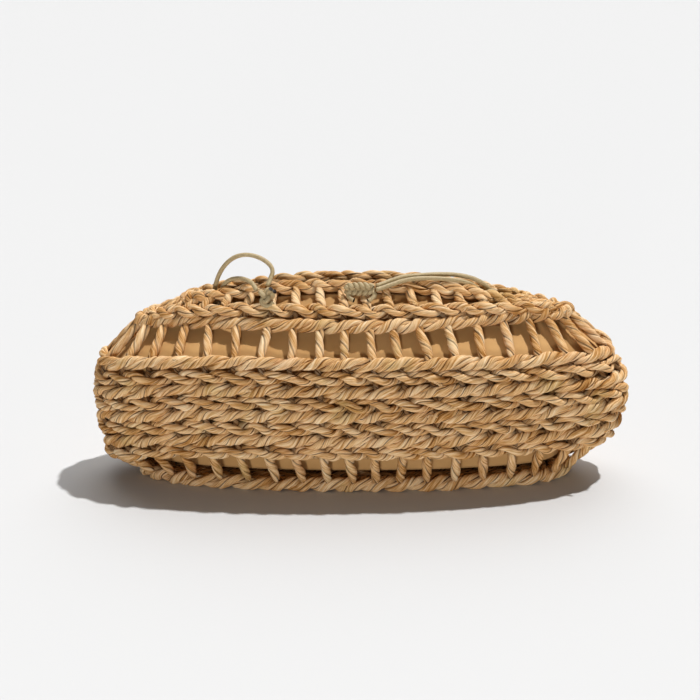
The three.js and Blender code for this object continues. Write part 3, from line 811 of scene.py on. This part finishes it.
def rounded(points, count, closed=False):
    # Smooth line through the points, resampled to even steps: each stretch is the cubic whose slope at
    # each end is half the way from the point before that end to the point after it
    p = np.asarray(points, float)
    n = len(p)
    spans = n if closed else n - 1
    place = np.linspace(0, spans, 40 * spans + 1)[: -1 if closed else None]
    low = np.minimum(np.floor(place).astype(int), spans - 1)
    t = (place - low)[:, None]
    pick = (lambda k: p[k % n]) if closed else (lambda k: p[np.clip(k, 0, n - 1)])
    a, b, c, d = pick(low - 1), pick(low), pick(low + 1), pick(low + 2)
    line = 0.5 * (2 * b + (c - a) * t + (2 * a - 5 * b + 4 * c - d) * t ** 2
                  + (3 * b - a - 3 * c + d) * t ** 3)
    if closed:
        line = np.vstack([line, line[:1]])
    length = np.concatenate([[0], np.cumsum(np.linalg.norm(np.diff(line, axis=0), axis=-1))])
    want = np.linspace(0, length[-1], count + 1)[:-1] if closed else np.linspace(0, length[-1], count)
    return np.stack([np.interp(want, length, line[:, k]) for k in range(3)], -1), length[-1]


def steadySide(line, closed):
    # a sideways direction that turns as little as it can along the line
    along = slope(line, closed)
    side = unit(np.cross(along[0], [0.31, 0.17, 0.93]))
    sides = []
    for direction in along:
        side = side - side.dot(direction) * direction
        side = side / np.linalg.norm(side)
        sides.append(side)
    return np.array(sides)


def cordPart(line, radius, closed=False, seed=0):
    rng = np.random.default_rng(seed)
    part = ropeSurface(line, steadySide(line, closed), radius, radius, 1, rng, closed, cordSize["around"],
                       cut=0.0, folds=0.006)
    if not closed:
        part["dent"] = cordSize["dent"] * radius
        # painted shade: the dented cut end is darkened to near black
        part["values"]["paintedShade"][-1] = 1
    return part


def knotPiece(name, routes, replaced, seed):
    parts = []
    for k, (points, closed) in enumerate(routes):
        line = rounded(np.array(points) * mm, 12 * len(points), closed)[0]
        parts.append(cordPart(line, cordSize[name], closed, seed + k))
    return buildPiece(name, parts, cordMaterial, [replaced])


def leftKnotRoutes():
    # a tight overhand loop: the trefoil (sin t + 2 sin 2t, cos t - 2 cos 2t, -1.5 sin 3t), laid on
    # the slope, and its two cut ends side by side
    t = np.arange(24) / 24 * 2 * np.pi
    flat = np.stack([np.sin(t) + 2 * np.sin(2 * t), np.cos(t) - 2 * np.cos(2 * t), -1.5 * np.sin(3 * t)], -1)
    lean = np.radians(28)
    turned = flat * (1.35, 1.7, 1.0)
    y = turned[:, 1] * np.cos(lean) - turned[:, 2] * np.sin(lean)
    z = turned[:, 1] * np.sin(lean) + turned[:, 2] * np.cos(lean)
    loop = np.stack([turned[:, 0], y, z], -1) + (-57.3, -22.0, 122.6)
    return [
        (loop, True),
        ([(-58.5, -21, 120.5), (-56.6, -23.4, 124.2), (-55.2, -25, 126.4), (-54.4, -26, 127.8)], False),
        ([(-57, -21, 119.5), (-54.8, -23.6, 122.8), (-53, -25.4, 125.2), (-52.2, -26.4, 126.4)], False),
        ([(-59, -23, 121.5), (-60.2, -24, 119.4), (-58.6, -25.2, 117.4), (-55.4, -25.6, 117.2),
          (-53.4, -24.6, 119)], False),
    ]


def rightKnotRoutes():
    # a plait of three strands, (x, sin 2 phase, sin phase) a third of a turn apart, and cut ends
    t = np.linspace(0, 1, 26)
    middle = np.array([-1.2, -19.2, 125.6])
    strands = []
    for k in range(3):
        phase = 2 * np.pi * (1.7 * t + k / 3)
        narrow = 0.75 + 0.35 * np.sin(np.pi * t)
        place = [-8.4 + 16.6 * t, 1.5 * narrow * np.sin(2 * phase), 2.7 * narrow * np.sin(phase)]
        strands.append((np.stack(place, -1) + middle, False))
    return strands + [
        ([(6, -19, 124.6), (8, -21, 122.6), (6.4, -22.8, 120.8), (4, -24, 119.6)], False),
        ([(-7, -19, 124), (-8, -21, 122), (-6.4, -22.6, 120.4), (-4.6, -23.6, 119.8)], False),
    ]


leftKnot = knotPiece("leftKnot", leftKnotRoutes(), "left_knot", 61)
rightKnot = knotPiece("rightKnot", rightKnotRoutes(), "right_knot", 65)
for number, (name, route) in enumerate(cordRoutes.items()):
    line, length = rounded(np.array(route) * mm, 90)
    part = cordPart(line, cordSize["diameter"] / 2, seed=70 + number)
    side, kind, letter = name.split("_")
    drawcord = buildPiece(side + "Cord" + letter.upper(), [part], cordMaterial, [name])
print("stage: cords")


# FLOOR AND LIGHT
studio = dict(
    floorHalf=12,
    floorColour="#cfcfcf",
    worldStrength=0.12,
    # direction each sun comes from, its strength and how many degrees wide it is
    keySun=((0.35, 0.18, 1.0), 3.15, 2),
    backSun=((0.05, 0.8, 1.0), 1.5, 60),
    # place, aim, side in metres and watts of the soft box in front
    frontFill=((-0.2, -2.6, 0.16), (0, 0, 0.064), 0.28, 24),
)


def stageFloor():
    mesh = bpy.data.meshes.new("studioFloor")
    half = studio["floorHalf"]
    corners = [(-half, -half, 0), (half, -half, 0), (half, half, 0), (-half, half, 0)]
    mesh.from_pydata(corners, [], [(0, 1, 2, 3)])
    material, tree, shader = newMaterial("matPaperFloor", 0.9, 0.2)
    shader.inputs["Base Color"].default_value = linear(studio["floorColour"])
    mesh.materials.append(material)
    floor = bpy.data.objects.new("studioFloor", mesh)
    bpy.context.scene.collection.objects.link(floor)


def addLights():
    world = bpy.data.worlds.new("studioWorld")
    bpy.context.scene.world = world
    world.use_nodes = True
    background = world.node_tree.nodes["Background"]
    background.inputs["Color"].default_value = (1, 1, 1, 1)
    background.inputs["Strength"].default_value = studio["worldStrength"]
    for name in ("keySun", "backSun"):
        (x, y, z), strength, wide = studio[name]
        sun = bpy.data.objects.new(name, bpy.data.lights.new(name, "SUN"))
        sun.data.energy = strength
        sun.data.angle = np.radians(wide)
        sun.rotation_euler = (np.arctan2(np.hypot(x, y), z), 0, np.arctan2(y, x) + np.pi / 2)
        bpy.context.scene.collection.objects.link(sun)
    place, aim, side, power = studio["frontFill"]
    fill = bpy.data.objects.new("frontFill", bpy.data.lights.new("frontFill", "AREA"))
    fill.data.energy = power
    fill.data.size = side
    x, y, z = np.subtract(aim, place)
    fill.location = place
    fill.rotation_euler = (np.arctan2(np.hypot(x, y), -z), 0, np.arctan2(y, x) - np.pi / 2)
    bpy.context.scene.collection.objects.link(fill)


stageFloor()
addLights()
bpy.context.scene.view_settings.view_transform = "Standard"
print("stage: floor and light")
